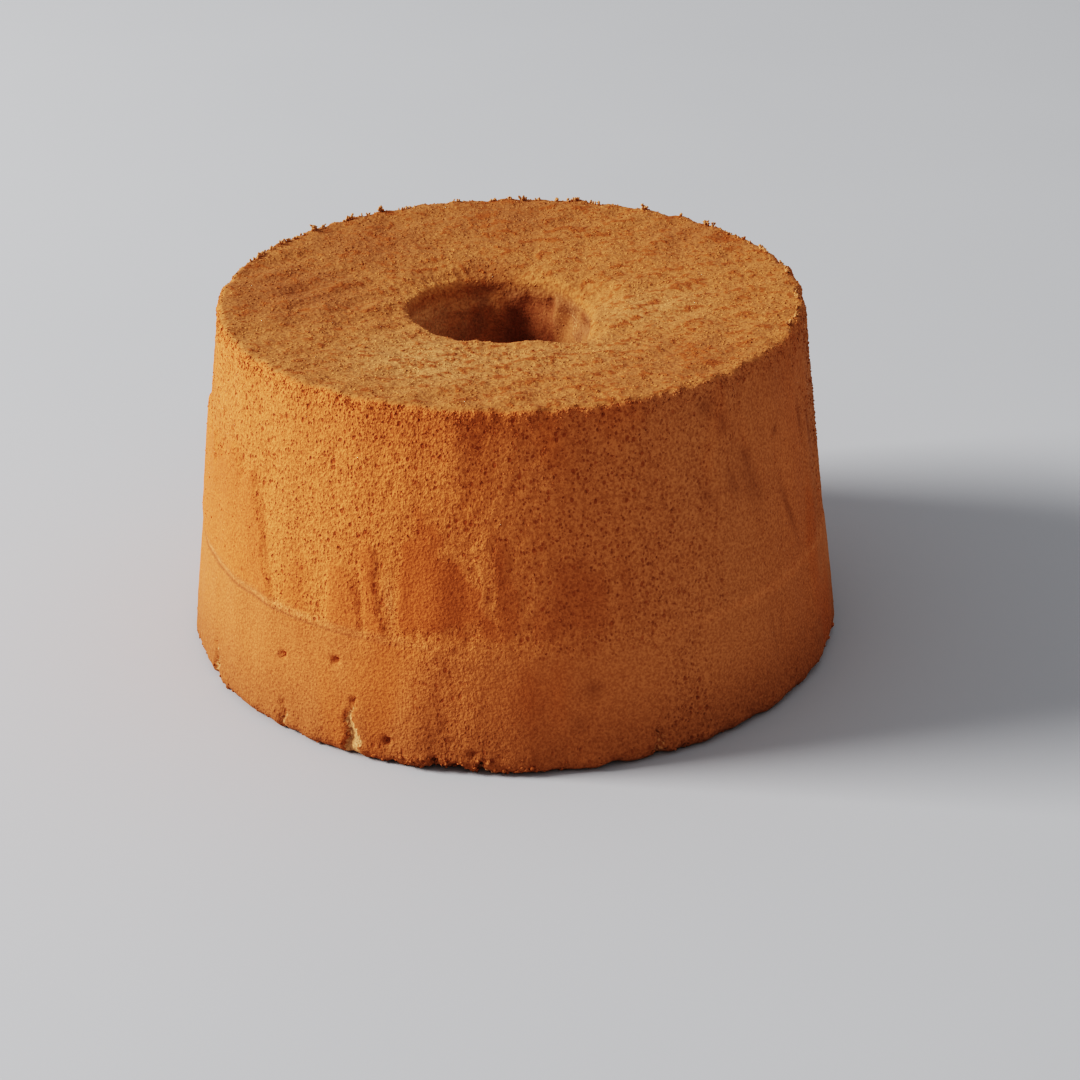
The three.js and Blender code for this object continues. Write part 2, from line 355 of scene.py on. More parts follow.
# The camera: where it stands, which way it looks and how long its lens is
CAMERA_PLACE = (0, -0.7262, 0.3905)
CAMERA_PITCH = 26.69
CAMERA_YAW = 0.65
CAMERA_ROLL = -0.60
CAMERA_LENS = 83.08
CAMERA_SENSOR = 36


def seeded(seed):
    """A repeatable stream of numbers from 0 to 1."""
    mask = 0xFFFFFFFF
    state = seed
    while True:
        state = (state + 0x6D2B79F5) & mask
        mixed = ((state ^ (state >> 15)) * (state | 1)) & mask
        mixed ^= (mixed + (mixed ^ (mixed >> 7)) * (mixed | 61)) & mask
        yield ((mixed ^ (mixed >> 14)) & mask) / 2**32


def lerp(low, high, share):
    return low + (high - low) * share


def smoothstep(value, low, high):
    share = np.clip((value - low) / (high - low), 0, 1)
    return share * share * (3 - 2 * share)


def fade(distance, reach):
    """1 at zero distance, 0 at the reach and beyond."""
    return 1 - smoothstep(np.abs(distance), 0, reach)


def halfway(share):
    """1 at a half, 0 at 0 and at 1."""
    return 4 * share * (1 - share)


def turn_between(start, end):
    """The turn between two angles, from -180 to 180 degrees."""
    return (end - start + 180) % 360 - 180


def turn_waves(g, waves):
    """Relief of waves round the cake, about -1 to 1."""
    draw = seeded(waves.seed)
    total = np.zeros(np.broadcast(g.angle, g.z).shape)
    for _ in range(waves.count):
        turns = round(lerp(waves.fewest, waves.most, next(draw)))
        rise = lerp(-waves.per_height, waves.per_height, next(draw))
        total += np.sin(turns * g.angle + rise * g.z + next(draw) * 2 * np.pi)
    return total / math.sqrt(2 * waves.count)


def plane_waves(g, waves):
    """Relief of waves across the top, about -1 to 1."""
    draw = seeded(waves.seed)
    total = np.zeros(g.x.shape)
    for _ in range(waves.count):
        heading = next(draw) * 2 * np.pi
        rate = 2 * np.pi / lerp(waves.shortest, waves.longest, next(draw))
        total += np.sin(rate * (g.x * np.cos(heading) + g.y * np.sin(heading)) + next(draw) * 2 * np.pi)
    return total / math.sqrt(2 * waves.count)


def hashed(cells, seed):
    """A repeatable whole number for each cell of a lattice."""
    key = (cells @ np.array((73856093, 19349663, 83492791)) + seed * 2654435761).astype(np.uint64)
    for factor in (0xFF51AFD7ED558CCD, 0xC4CEB9FE1A85EC53):
        key = (key ^ (key >> np.uint64(33))) * np.uint64(factor)
    return key ^ (key >> np.uint64(33))


def fractions(key):
    """Four numbers from 0 to 1 out of each whole number."""
    parts = [(key >> np.uint64(shift)) & np.uint64(0xFFFF) for shift in (0, 16, 32, 48)]
    return np.stack(parts, -1).astype(float) / 0xFFFF


LUMP_GAIN = 1.9


def lumps(points, kind):
    """Smooth noise, about -1 to 1 times its amount."""
    at = points / kind.size
    cell = np.floor(at).astype(np.int64)
    part = at - cell
    blend = part**3 * (part * (part * 6 - 15) + 10)
    total = np.zeros(at.shape[:-1])
    for corner in itertools.product((0, 1), repeat=3):
        slope = fractions(hashed(cell + corner, kind.seed))[..., :3] * 2 - 1
        weight = np.prod(np.where(np.array(corner), blend, 1 - blend), axis=-1)
        total += weight * (slope * (part - corner)).sum(-1)
    return kind.amount * (total * LUMP_GAIN)


def round_pits(points, pits):
    """1 at the middle of scattered pits, 0 outside them."""
    cell = np.floor(points / pits.spacing).astype(np.int64)
    deepest = np.zeros(points.shape[:-1])
    for step in itertools.product((-1, 0, 1), repeat=3):
        draws = fractions(hashed(cell + step, pits.seed))
        centre = (cell + step + draws[..., :3]) * pits.spacing
        away = np.linalg.norm(points - centre, axis=-1) / lerp(*pits.radii, draws[..., 3])
        deepest = np.maximum(deepest, 1 - np.minimum(away, 1) ** 2)
    return deepest


def below_seam(z, blend):
    """1 below the seam, 0 above it, and soft between."""
    return 1 - smoothstep(z, SEAM_HEIGHT - blend / 2, SEAM_HEIGHT + blend / 2)


def side_radius(z):
    """Radius of the smooth side, with its proud band."""
    return FOOT_RADIUS - TAPER * z + SEAM_STEP * below_seam(z, SEAM_BLEND)


def skin_fingers(g):
    """Skin with ragged edges: where it is, how proud and how red."""
    upright = g.points * (1, 1, SKIN_SQUEEZE)
    streaks = lumps(upright, SKIN_STREAKS) + lumps(g.points, SKIN_FLECKS)
    degrees = g.degrees + lumps(upright, SKIN_TURN)
    z = g.z + lumps(g.points, SKIN_RISE)
    skin, proud, sunk, red = (np.zeros(degrees.shape) for _ in range(4))
    for one in SKIN_FINGERS:
        up = np.clip((z - one.low) / (one.high - one.low), 0, 1)
        left, right = (lerp(foot, head, up) for foot, head in zip(one.foot, one.head))
        across = turn_between((left + right) / 2, degrees) / (right - left)
        away = (np.abs(across) - 0.5) * (right - left)
        soft = 1 - smoothstep(away, -one.edge, one.edge)
        soft *= 1 - smoothstep(z, one.high - SKIN_END, one.high + SKIN_END)
        soft *= smoothstep(z, one.low - SKIN_START, one.low + SKIN_START)
        here = smoothstep(soft + SKIN_RAGGED * streaks * (halfway(soft) + SKIN_RAGGED_ALL), *SKIN_CUT)
        skin = np.maximum(skin, one.cover * here)
        rise = one.proud * (1 - one.tilt * np.clip(across + 0.5, 0, 1)) * here
        proud = np.maximum(proud, rise)
        sunk = np.minimum(sunk, rise)
        red = np.maximum(red, one.red * (soft + here) / 2 + SKIN_EDGE_RED * halfway(here))
    return skin, proud + sunk, red


def stretches(g, places):
    """Towards 1 in some stretches round the cake."""
    return np.max([fade(turn_between(at, g.degrees), reach) for at, reach in places], axis=0)


def bore_tear(degrees, below):
    """How far the torn bore reaches past round, this far below its lip."""
    total = 0
    for at, spread, depth, reach in BORE_TEARS:
        total += depth * np.exp(-((turn_between(at, degrees) / spread) ** 2)) * fade(below, reach)
    return total


def bore_spots(g, spots):
    """Towards 1 in some spots of the bore's wall."""
    most = np.zeros(np.broadcast(g.degrees, g.below).shape)
    for at, depth, reach in spots:
        across = np.radians(turn_between(at, g.degrees)) * BORE_RADIUS
        most = np.maximum(most, fade(np.hypot(across, g.below - depth), reach))
    return most


def dark_wall(g, wall):
    """Towards its strength in a dark stretch of the bore's wall."""
    at, reach, strength, depths = wall
    around = np.minimum(WALL_BREADTH * fade(turn_between(at, g.degrees), reach), 1)
    return strength * around * smoothstep(g.below, *depths)


def funnel_depth(degrees, from_lip):
    """How far the top sinks towards the bore, this far from its lip."""
    outside = np.maximum(from_lip, 0)
    total = 0
    for at, spread, depth, reach in FUNNELS:
        total += depth * fade(turn_between(at, degrees), spread) * fade(outside, reach)
    return total


def side_marks(g, marks):
    """Towards 1 in marks on the side; they come again half a turn on."""
    most = np.zeros(np.broadcast(g.degrees, g.z).shape)
    for at, height, wide, tall, lean, strength in marks:
        for turned in (0, 180):
            across = turn_between(at + turned + lean * (height - g.z), g.degrees) / wide
            most = np.maximum(most, strength * np.exp(-(across**2) - ((g.z - height) / tall) ** 2))
    return most


def top_places(g, places):
    """Towards 1 in some places of the top."""
    most = np.zeros(g.x.shape)
    for at_x, at_y, reach, strength in places:
        most = np.maximum(most, strength * fade(np.hypot(g.x - at_x, g.y - at_y), reach))
    return most


def with_hidden(shown, hidden, limits):
    """The places that show, and others like them round the back."""
    draw = seeded(hidden.seed)
    more = []
    for i in range(hidden.count):
        at = lerp(hidden.start, hidden.end, (i + next(draw)) / hidden.count)
        place = (at, *(lerp(*getattr(hidden, name), next(draw)) for name in limits))
        if abs(turn_between(FRONT, at)) > SHOWN_REACH:
            more.append(place)
    return [*shown, *more]


def outline():
    """Rows of the closed outline, from the bore's foot outwards and up: zone, radius and height."""
    rows = []

    def add(zone, radius, height):
        rows.extend(zip([zone] * len(radius), radius, height))

    def even(count):
        return np.arange(count) / count

    def rounding(count):
        turn = even(count) * math.pi / 2
        return np.sin(turn), np.cos(turn)

    foot_flat = FOOT_RADIUS + SEAM_STEP - FOOT_ROUND
    foot_bulge = side_radius(FOOT_ROUND) - foot_flat
    rim_low = HEIGHT - RIM_ROUND
    top_edge = side_radius(rim_low) - RIM_ROUND
    lip_edge = BORE_RADIUS + LIP_ROUND
    t = even(ROWS.base) ** BASE_CROWD
    add("base", lerp(BORE_FOOT_RADIUS, foot_flat, t), 0 * t)
    sine, cosine = rounding(ROWS.foot)
    add("foot", foot_flat + foot_bulge * sine, FOOT_ROUND * (1 - cosine))
    heights = (FOOT_ROUND, SEAM_HEIGHT - SEAM_REACH, SEAM_HEIGHT + SEAM_REACH, rim_low)
    for low, high, count in zip(heights, heights[1:], (ROWS.band, ROWS.seam, ROWS.wall)):
        z = lerp(low, high, even(count))
        add("side", side_radius(z), z)
    sine, cosine = rounding(ROWS.rim)
    add("rim", top_edge + RIM_ROUND * cosine, rim_low + RIM_ROUND * sine)
    t = even(ROWS.top)
    add("top", lerp(top_edge, lip_edge, t), HEIGHT - DISH_DEPTH * t)
    sine, cosine = rounding(ROWS.lip)
    add("lip", lip_edge - LIP_ROUND * sine, LIP_HEIGHT - LIP_ROUND * (1 - cosine))
    t = even(ROWS.bore) ** BORE_CROWD
    add("bore", lerp(BORE_RADIUS, BORE_FOOT_RADIUS, t), lerp(LIP_HEIGHT - LIP_ROUND, 0, t))
    return rows


def smooth_grid():
    """The smooth cake as a grid of rows and columns."""
    rows = outline()
    turn = np.arange(COLUMNS) / COLUMNS * 2 * np.pi - np.pi
    angle = (math.radians(FRONT) + turn - FRONT_SHARE * np.sin(turn))[None, :]
    names = np.array([row[0] for row in rows])[:, None]
    r = np.array([row[1] for row in rows], float)[:, None]
    z = np.array([row[2] for row in rows], float)[:, None]
    x, y = r * np.cos(angle), r * np.sin(angle)
    step_r = np.roll(r, -1, 0) - np.roll(r, 1, 0)
    step_z = np.roll(z, -1, 0) - np.roll(z, 1, 0)
    length = np.hypot(step_r, step_z)
    zone = {name: (names == name) * 1.0 for name in ("foot", "side", "rim", "top", "lip", "bore")}
    return Values(
        angle=angle, degrees=np.degrees(angle), r=r, z=z, x=x, y=y,
        points=np.stack([x, y, z * np.ones_like(x)], -1),
        normal_r=step_z / length,
        normal_z=-step_r / length,
        zone=zone,
        outside=zone["side"] + zone["foot"] + zone["rim"],
        above=zone["top"] + zone["lip"],
        bore=zone["bore"],
        from_rim=np.hypot(r - RIM_RADIUS, z - HEIGHT),
        below=LIP_HEIGHT - LIP_ROUND - z,
        off_floor=smoothstep(z, 0, FOOT_ROUND),
        inward=1 - smoothstep(r, BORE_RADIUS + LIP_ROUND, RIM_RADIUS - CRAG_REACH),
    )


def crack_cuts(g):
    """How deep cracks and small holes cut in, and their pale torn crumb."""
    cut = np.zeros(np.broadcast(g.degrees, g.z).shape)
    torn = np.zeros_like(cut)
    wander = lumps(g.points * (0, 0, 1) + WANDER_PLACE, CRACK_WANDER)
    rough = lumps(g.points, CRACK_ROUGH)
    cracks = with_hidden(CRACKS, HIDDEN_CRACKS, ("width", "height", "depth"))
    for index, (at, width, height, depth) in enumerate(cracks):
        up = np.clip(1 - g.z / height, 0, 1)
        across = np.radians(turn_between(at, g.degrees)) * FOOT_RADIUS
        across = across + wander * CRACK_WANDERS[index % len(CRACK_WANDERS)]
        half = (width / 2 + CRACK.wider) * (up**CRACK.taper + rough * (up > 0))
        share = across / np.maximum(half, CRACK.least)
        slope = smoothstep(share, -CRACK.edge, -CRACK.floor)
        slope *= np.clip((CRACK.edge - share) / CRACK.slope, 0, 1)
        cut = np.maximum(cut, depth * slope * smoothstep(up, *CRACK.tip))
        pale = CRACK_PALENESS[index] if index < len(CRACK_PALENESS) else HIDDEN_PALENESS
        inside = 1 - smoothstep(np.abs(share), CRACK.floor, CRACK.edge)
        torn = np.maximum(torn, pale * inside * smoothstep(up, *CRACK.pale))
    for at, height, radius, depth in with_hidden(DENTS, HIDDEN_DENTS, ("height", "radius", "depth")):
        across = np.radians(turn_between(at, g.degrees)) * FOOT_RADIUS
        away = np.hypot(across, g.z - height) / radius + DENT_ROUGH * rough
        cut = np.maximum(cut, depth * (1 - smoothstep(away, *DENT_EDGE)))
    return cut, torn


def side_look(g):
    """The side's relief, and the shares that colour it."""
    skin, proud, red = (values * g.outside for values in skin_fingers(g))
    clear_seam = stretches(g, CLEAR_SEAM)
    seam = np.maximum(clear_seam, stretches(g, FAINT_SEAM))
    wander = lumps(g.points, BAND_WANDER) * (1 - seam)
    band = below_seam(g.z + wander, lerp(*BAND_BLENDS, seam)) * g.outside
    streak = stretches(g, POROUS_STREAKS)
    closed = BAND_CLOSED - STREAK_OPENING * streak - FOOT_OPENING * fade(g.z, OPENING_REACH)
    open_crumb = (1 - skin) * (1 - np.maximum(closed, 0) * band) * g.outside

    # Waves, skin, grain and pits
    cut, torn = crack_cuts(g)
    proud = proud * smoothstep(g.z, SEAM_HEIGHT, SEAM_HEIGHT + SKIN_START)
    relief = SIDE_RELIEF * turn_waves(g, SIDE_WAVES) * g.off_floor + proud
    relief += FOOT_CRAG * turn_waves(g, FOOT_WAVES) * fade(g.z, FOOT_REACH)
    relief += lerp(lumps(g.points, SKIN_GRAIN), lumps(g.points, SIDE_GRAIN), open_crumb)
    relief -= PIT_DEPTH * round_pits(g.points, PITS) * lerp(SKIN_PIT_SHARE, 1, open_crumb)

    # The seam, which is softer where it doesn't show, and the dark marks
    groove = np.exp(-(((g.z - SEAM_HEIGHT) / GROOVE_WIDTH) ** 2)) * g.outside
    # A strip of painted highlight above the seam
    strip = np.exp(-(((g.z - SEAM_HEIGHT - HIGHLIGHT_STRIP_RISE) / HIGHLIGHT_STRIP_WIDTH) ** 2)) * g.outside
    softer = below_seam(g.z, lerp(SOFT_BLEND, SEAM_BLEND, seam)) - below_seam(g.z, SEAM_BLEND)
    relief += SEAM_STEP * softer
    dark = side_marks(g, DARK_MARKS_AND_SHADE)
    relief = relief - GROOVE_DEPTH * groove * clear_seam - MARK_DEPTH * dark

    # The crumb of the foot, with its cracks
    ragged = stretches(g, RAGGED_FOOT)
    crumb = lumps(g.points, FOOT_GRAIN) + SPLINTER_SHARE * ragged * lumps(g.points, SPLINTERS)
    crumb = FOOT_RISE * crumb * fade(g.z, FOOT_RISE_REACH) * lerp(1, RAGGED_GAIN, ragged)
    return Values(
        relief=relief + crumb - cut, skin=skin, red=red, band=band, open_crumb=open_crumb, seam=seam,
        clear_seam=clear_seam, groove=groove, strip=strip, dark=dark, torn=torn, ragged=ragged,
    )


def top_look(g):
    """The top's relief, and where its flecks are."""
    heading = math.radians(ROW_HEADING)
    along = g.x * math.cos(heading) + g.y * math.sin(heading)
    athwart = g.y * math.cos(heading) - g.x * math.sin(heading)
    fleck_at = np.stack([along / FLECK_STRETCH, athwart, 0 * athwart], -1)
    row_at = np.stack([along / ROW_STRETCH, athwart, 0 * athwart], -1)
    rows = lumps(fleck_at, TOP_FLECKS) + lumps(row_at, TOP_ROWS)
    grains = lumps(g.points, TOP_GRAIN)
    crumb = TOP_RELIEF * plane_waves(g, TOP_WAVES) + TOP_GRAIN_RISE * grains + TOP_ROWS_RISE * rows
    flecks = smoothstep(rows + FLECK_GRAINS * grains, *FLECK_CUT)
    flecks *= smoothstep(g.r, BORE_RADIUS, BORE_RADIUS + FLECK_REACH)
    return Values(
        relief=crumb * smoothstep(g.from_rim, 0, CRAG_REACH),
        flecks=flecks * lerp(FLECK_LEFT, 1, smoothstep(g.x, *FLECK_SIDES)),
    )


def bore_look(g):
    """How far the bore's wall sinks, and the shares that colour it."""
    uneven = BORE_RELIEF * turn_waves(g, BORE_WAVES) + lumps(g.points, BORE_GRAIN)
    uneven = uneven * g.off_floor * smoothstep(g.below, *RELIEF_DEPTHS)
    crust = dark_wall(g, CRUST_WALL)
    crust = np.maximum(crust, bore_spots(g, BORE_CRUST))
    torn = bore_spots(g, BORE_TORN) * g.bore
    return Values(
        relief=bore_tear(g.degrees, g.below) + uneven,
        hollows=bore_spots(g, BORE_HOLLOWS) * g.bore,
        scorched=np.maximum(dark_wall(g, SCORCHED_WALL), crust) * g.bore,
        torn=TORN_SHARE * torn * smoothstep(lumps(g.points, TORN_GRAIN), *TORN_CUT),
    )


def colour_masks(g, side, top, bore):
    """Numbers for the material, by name; crumbs draw their shades in this order."""
    # Duller stretches, mostly on the side away from the key: partly uneven baking, partly painted shade
    dull = stretches(g, DULL_AND_SHADED_STRETCHES) * g.outside
    patches = lumps(g.points * (1, 1, PATCH_SQUEEZE), PATCHES)
    patches += lumps(g.points * (1, 1, SMALL_SQUEEZE), SMALL_PATCHES)
    # How strongly the pores show: they are bump, and painted shade in their hollows
    pores = side.open_crumb + (CLOSED_PORES - BAND_PORE_LOSS * side.band) * g.outside + BORE_PORES * g.bore
    most_pores = lerp(1, MOST_PORES, smoothstep(g.z, *PORE_HEIGHTS) * (1 - dull))
    lips = [share * fade(turn_between(at, g.degrees), reach) for at, reach, share in SOFT_LIP]
    soft_lip = np.max(lips, axis=0)
    lip_crumb = g.bore * (g.below < lerp(*LIP_DEPTHS, soft_lip))
    rim_crumb = g.zone["rim"] * smoothstep(g.normal_z, *RIM_TOP_SLOPES)
    at_lip = np.maximum(g.zone["lip"], fade(g.below, PAINTED_LIGHT_DEPTH) * g.bore)
    # Dark marks and the seam's groove: partly darker crust, partly painted shade
    dark_marks_and_shade = side.dark * g.outside + GROOVE_PAINTED_SHADE * side.groove * side.clear_seam
    return {
        "skin": side.skin,
        "band": side.band,
        # Painted highlight: the strip above the seam and the pale marks
        "seam": np.maximum(side.strip * side.seam, side_marks(g, PAINTED_HIGHLIGHT_MARKS) * g.outside),
        "pore": np.clip(pores, 0, most_pores),
        "torn": np.clip(side.torn * g.outside + bore.torn, 0, 1),
        # Scorched crust and dark marks, and painted shade in the seam's groove, the marks' grooves and the
        # bore's hollows
        "scorch": np.maximum(dark_marks_and_shade, np.maximum(bore.scorched, bore.hollows)),
        # Redder skin and marks, and painted shadow lines along ridge edges
        "red": np.maximum(side.red, side_marks(g, RED_MARKS_AND_SHADOW_LINES) * g.outside),
        "patch": patches,
        # Darker towards the foot: partly browner crumb, mostly painted shade
        "low": FOOT_SHADE_SHARE * fade(g.z, FOOT_SHADE_REACH) * g.outside,
        # Duller side: partly uneven baking, partly painted shade
        "dull": dull,
        "top": np.clip(g.above + lip_crumb + rim_crumb, 0, 1),
        "fleck": top.flecks * g.above,
        "pale": top_places(g, PALE_PLACES) * (g.above + g.bore),
        "brown": top_places(g, BROWN_PLACES) * (g.above + g.bore),
        # Painted light at the lip, where the loose crumbs lie
        "loose": stretches(g, PAINTED_LIGHT_LIP) * at_lip,
        # Painted light on the bore's shaded wall at the back left
        "inner_pale": PAINTED_LIGHT_SHARE * stretches(g, PAINTED_LIGHT_WALL) * g.bore,
        "bore": g.bore * smoothstep(g.below, TONE_START, lerp(*TONE_DEPTHS, soft_lip)),
    }


def directions(points):
    """Steps to the next column and row, and the normal and area at each point."""
    along = np.roll(points, -1, 1) - points
    across = np.roll(points, -1, 0) - points
    normal = np.cross(along + np.roll(along, 1, 1), across + np.roll(across, 1, 0))
    area = np.linalg.norm(np.cross(along, across), axis=-1)
    normal /= np.linalg.norm(normal, axis=-1, keepdims=True)
    return {"along": along, "across": across, "normal": normal, "area": area}


def cake_surface():
    """Every point of the cake with its relief, and the masks that colour it."""
    g = smooth_grid()
    side, top, bore = side_look(g), top_look(g), bore_look(g)

    # The side and the crags of the rim
    near_rim = fade(g.from_rim, CRAG_REACH)
    crag = lumps(g.points, RIM_GRAIN) * near_rim * (g.outside + g.above)
    radius = g.r + side.relief * g.outside
    radius = radius + RIM_CRAG * turn_waves(g, RIM_WAVES) * near_rim + crag * g.normal_r
    height = g.z + RIM_CRAG * turn_waves(g, RIM_LIFT) * near_rim + crag * g.normal_z

    # The broken edge of the foot
    broken = lerp(SMOOTH_LIFT, 1, side.ragged)
    lifted = smoothstep(lumps(g.points * (1, 1, 0), FOOT_BREAKS), *BREAK_CUT) * FOOT_LIFT * broken
    height += lifted * fade(g.z, LIFT_REACH) * smoothstep(g.r, *LIFT_RADII) * (1 - g.bore)

    # The top, its slope into the bore, and the bore
    height += top.relief * g.above
    height -= funnel_depth(g.degrees, g.r - BORE_RADIUS) * g.above
    height -= funnel_depth(g.degrees, 0) * fade(g.below, FUNNEL_END) * g.bore
    radius += bore_tear(g.degrees, 0) * g.inward * g.above
    radius = radius + bore.relief * g.bore + HOLLOW_DEPTH * bore.hollows

    x = radius * np.cos(g.angle) + BORE_CENTRE[0] * g.inward
    y = radius * np.sin(g.angle) + BORE_CENTRE[1] * g.inward
    points = np.stack([x, y, height * np.ones_like(radius)], -1)
    middle = (points.min((0, 1)) + points.max((0, 1))) / 2
    points -= (middle[0], middle[1], points[..., 2].min())
    masks = colour_masks(g, side, top, bore)
    return Values(
        points=points,
        grid=g,
        masks={name: np.broadcast_to(values, radius.shape) for name, values in masks.items()},
        **directions(points),
    )


def grid_faces(rows, columns):
    """Quads of a grid that closes on itself both ways."""
    row, column = np.meshgrid(np.arange(rows), np.arange(columns), indexing="ij")
    next_row, next_column = (row + 1) % rows, (column + 1) % columns
    corners = ((row, column), (row, next_column), (next_row, next_column), (next_row, column))
    return np.stack([r * columns + c for r, c in corners], -1).reshape(-1, 4)


def new_mesh(name, points, faces):
    """A smooth object from points in millimetres and faces."""
    mesh = bpy.data.meshes.new(name)
    sides = faces.shape[1]
    mesh.vertices.add(len(points))
    mesh.vertices.foreach_set("co", (points * MM).astype(np.float32).ravel())
    mesh.loops.add(faces.size)
    mesh.loops.foreach_set("vertex_index", faces.astype(np.int32).ravel())
    mesh.polygons.add(len(faces))
    mesh.polygons.foreach_set("loop_start", np.arange(0, faces.size, sides, dtype=np.int32))
    mesh.update(calc_edges=True)
    mesh.validate()
    mesh.shade_smooth()
    made = bpy.data.objects.new(name, mesh)
    bpy.context.scene.collection.objects.link(made)
    return made


def add_mask(piece, name, values):
    """A number at each point, which the material reads by name."""
    layer = piece.data.attributes.new(name, "FLOAT", "POINT")
    layer.data.foreach_set("value", values.astype(np.float32).ravel())


class Shader:
    """A material of one Principled shader, built a node at a time."""

    SPECULAR = 0.2
    GRAIN_EDGE = (0.05, 0.7)
    PORE_EDGE = (0.45, 1.0)

    def __init__(self, name, roughness):
        self.material = bpy.data.materials.new(name)
        self.material.use_nodes = True
        self.tree = self.material.node_tree
        self.surface = self.tree.nodes["Principled BSDF"]
        self.surface.inputs["Roughness"].default_value = roughness
        self.surface.inputs["Specular IOR Level"].default_value = self.SPECULAR
        self.place = self.node("ShaderNodeTexCoord").outputs["Object"]

    def feed(self, socket, value):
        if isinstance(value, bpy.types.NodeSocket):
            self.tree.links.new(value, socket)
        else:
            socket.default_value = value

    def node(self, kind, values=None, **settings):
        made = self.tree.nodes.new(kind)
        for key, value in settings.items():
            setattr(made, key, value)
        for key, value in (values or {}).items():
            self.feed(made.inputs[key], value)
        return made

    def maths(self, operation, a, b):
        return self.node("ShaderNodeMath", {0: a, 1: b}, operation=operation).outputs[0]

    def times(self, a, b):
        return self.maths("MULTIPLY", a, b)

    def plus(self, a, b):
        return self.maths("ADD", a, b)

    def vectors(self, operation, a, b):
        return self.node("ShaderNodeVectorMath", {0: a, 1: b}, operation=operation).outputs[0]

    def mask(self, name):
        return self.node("ShaderNodeAttribute", attribute_name=name).outputs["Fac"]

    def ramp(self, value, low, high, to_low=0.0, to_high=1.0):
        values = {"Value": value, "From Min": low, "From Max": high, "To Min": to_low, "To Max": to_high}
        return self.node("ShaderNodeMapRange", values, interpolation_type="SMOOTHSTEP").outputs["Result"]

    def swing(self, value, amount, low=0.3, high=0.7):
        """A swing to both sides of zero out of a value between low and high."""
        return self.ramp(value, low, high, -amount, amount)

    def mix(self, share, a, b, blend="MIX"):
        made = self.node("ShaderNodeMix", data_type="RGBA", blend_type=blend)
        self.feed(made.inputs["Factor"], share)
        for socket, value in zip([s for s in made.inputs if s.type == "RGBA"], (a, b)):
            self.feed(socket, value if isinstance(value, bpy.types.NodeSocket) else (*value, 1))
        return next(s for s in made.outputs if s.type == "RGBA")

    def shaded(self, share, colour, shade):
        """A colour multiplied by a shade where the share is 1."""
        return self.mix(share, colour, self.mix(1.0, colour, shade, "MULTIPLY"))

    def noise(self, size, detail=2, place=None, output="Fac", roughness=0.5):
        values = {
            "Vector": place or self.place, "Scale": 1 / (size * MM),
            "Detail": detail, "Roughness": roughness,
        }
        return self.node("ShaderNodeTexNoise", values).outputs[output]

    def warped(self, size, amount, stretch=(1, 1, 1)):
        """Places pushed about by noise, so that cells on them aren't round."""
        push = self.vectors("SUBTRACT", self.noise(size, 1, output="Color"), (0.5, 0.5, 0.5))
        pushed = self.vectors("MULTIPLY", push, (2 * amount * MM,) * 3)
        return self.vectors("MULTIPLY", self.vectors("ADD", self.place, pushed), stretch)

    def cells(self, place, spacing, channel):
        """Cells side by side: how far their middle is, in spacings, and a number for each."""
        made = self.node("ShaderNodeTexVoronoi", {"Vector": place, "Scale": 1 / (spacing * MM)})
        draw = self.node("ShaderNodeSeparateColor", {"Color": made.outputs["Color"]}).outputs[channel]
        return made.outputs["Distance"], draw

    def grains(self, place, spacing):
        """Rounded grains, 1 at the middle and 0 between them, and a number for each."""
        away, draw = self.cells(place, spacing, "Blue")
        return self.ramp(away, *self.GRAIN_EDGE, 1.0, 0.0), draw

    def pores(self, place, spacing, radii):
        """Round pores of uneven size, 1 at the middle."""
        away, draw = self.cells(place, spacing, "Red")
        share = self.maths("DIVIDE", away, self.ramp(draw, 0, 1, *radii))
        return self.ramp(share, *self.PORE_EDGE, 1.0, 0.0)

    def finish(self, colour, height):
        """Links the colour, and the height in millimetres as bump."""
        bump = self.node("ShaderNodeBump", {"Height": height, "Strength": 1.0, "Distance": MM})
        self.feed(self.surface.inputs["Base Color"], colour)
        self.feed(self.surface.inputs["Normal"], bump.outputs["Normal"])
        return self.material


# Colours of the crumb, as linear shares of the light that it sends back
CRUMB = (0.56, 0.174, 0.054)
SKIN = (0.51, 0.147, 0.044)
BAND = (0.48, 0.152, 0.05)
# Darker, browner foot: partly browner crumb, mostly painted shade
FOOT_BROWN_AND_SHADE = (0.25, 0.088, 0.031)
# Duller tone of the side away from the key: partly uneven baking, partly painted shade
DULL_AND_SHADED_TONE = (0.5, 0.194, 0.077)
PATCH_RED = (0.46, 0.128, 0.034)
# Scorched crust, and painted shade in grooves and hollows
SCORCH_AND_SHADE = (0.22, 0.075, 0.028)
# Painted highlight on the seam's strip and the pale marks
PAINTED_HIGHLIGHT = (0.62, 0.235, 0.093)
TOP_GOLD = (0.366, 0.147, 0.0505)
TOP_RUST = (0.28, 0.085, 0.022)
TOP_PALE = (0.44, 0.208, 0.082)
TOP_BROWN = (0.272, 0.102, 0.036)
BORE_BROWN = (0.42, 0.18, 0.068)
BORE_DARK = (0.32, 0.145, 0.065)
# Painted light on the bore's shaded wall at the back left
BORE_PAINTED_LIGHT = (0.72, 0.4, 0.19)
TORN_PALE = (0.52, 0.255, 0.112)

# Shades that a colour is multiplied by
# Painted shade in the pores, deeper on the duller side
PORE_PAINTED_SHADE = (0.64, 0.5, 0.43)
PORE_DEEP_PAINTED_SHADE = (0.63, 0.49, 0.41)
# Redder skin and marks, and painted shadow along the edges of ridges
RED_AND_PAINTED_SHADOW = (0.74, 0.67, 0.62)
# Painted shade in the gaps between the top's grains
GAP_PAINTED_SHADE = (0.8, 0.7, 0.62)
# Painted light on loose crumbs, tufts and the lip
PAINTED_LIGHT_GLOW = (1.3, 1.36, 1.38)
